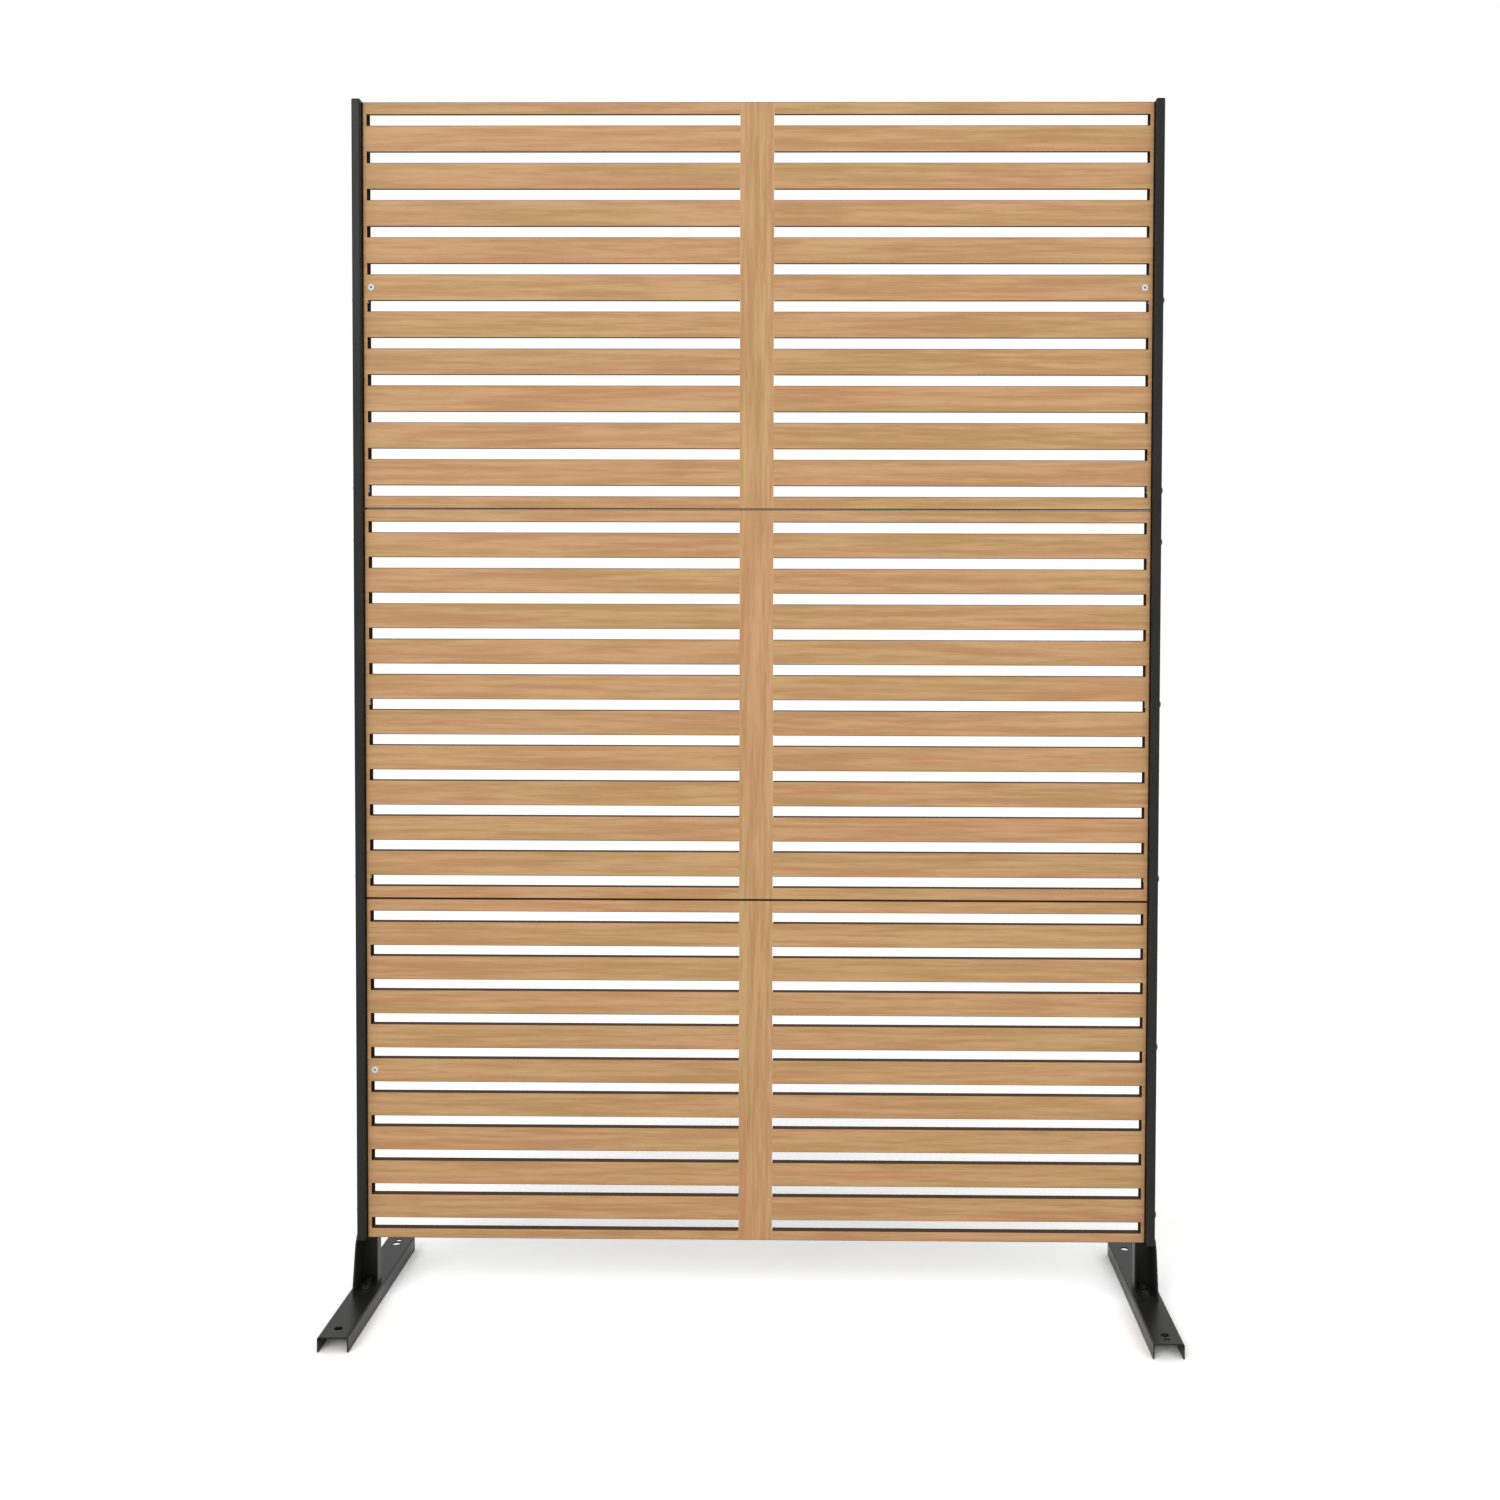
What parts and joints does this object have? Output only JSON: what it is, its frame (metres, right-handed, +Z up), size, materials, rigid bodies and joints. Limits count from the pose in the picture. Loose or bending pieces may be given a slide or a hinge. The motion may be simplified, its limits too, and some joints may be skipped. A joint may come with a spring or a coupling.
{
  "type": "garden privacy screen",
  "caption": "Free-standing slatted privacy screen: folded wood-grain steel panels between two black posts on bolted channel feet.",
  "frame": {"origin": "on the ground, midway between the two feet and at the middle of their length", "axes": "+X to the right along the screen's width, -Y towards the front face, +Z up"},
  "size_m": [1.238, 0.35, 1.829],
  "materials": {
    "wood_grain_steel": "satin wood-grain coating on sheet steel",
    "black_powder_coat": "satin black powder coat",
    "black_plastic": "matt moulded plastic",
    "black_hardware": "black plated steel",
    "zinc_hardware": "zinc plated steel",
    "white_nylon": "white moulded nylon",
    "grey_pin": "grey moulded nylon"
  },
  "bodies": {
    "root": {"panel_top": "wood_grain_steel", "panel_middle": "wood_grain_steel", "panel_bottom": "wood_grain_steel", "post_left": "black_powder_coat", "post_right": "black_powder_coat", "post_cap_left": "black_plastic", "post_cap_right": "black_plastic", "bracket_left": "black_powder_coat", "bracket_right": "black_powder_coat", "foot_left": "black_powder_coat", "foot_right": "black_powder_coat", "side_screws_top_left": "black_hardware", "side_screws_top_right": "black_hardware", "side_screws_middle_left": "black_hardware", "side_screws_middle_right": "black_hardware", "side_screws_bottom_left": "black_hardware", "side_screws_bottom_right": "black_hardware", "side_nuts_top_left": "zinc_hardware", "side_nuts_top_right": "zinc_hardware", "side_nuts_middle_left": "zinc_hardware", "side_nuts_middle_right": "zinc_hardware", "side_nuts_bottom_left": "zinc_hardware", "side_nuts_bottom_right": "zinc_hardware", "bracket_screws_left": "black_hardware", "bracket_screws_right": "black_hardware", "foot_bolts_left": "black_hardware", "foot_bolts_right": "black_hardware", "foot_washers_left": "black_hardware", "foot_washers_right": "black_hardware", "foot_nuts_left": "zinc_hardware", "foot_nuts_right": "zinc_hardware", "rivet_collars_top": "white_nylon", "rivet_collar_bottom": "white_nylon", "rivet_pins_top": "grey_pin", "rivet_pin_bottom": "grey_pin"}
  },
  "joints": []
}
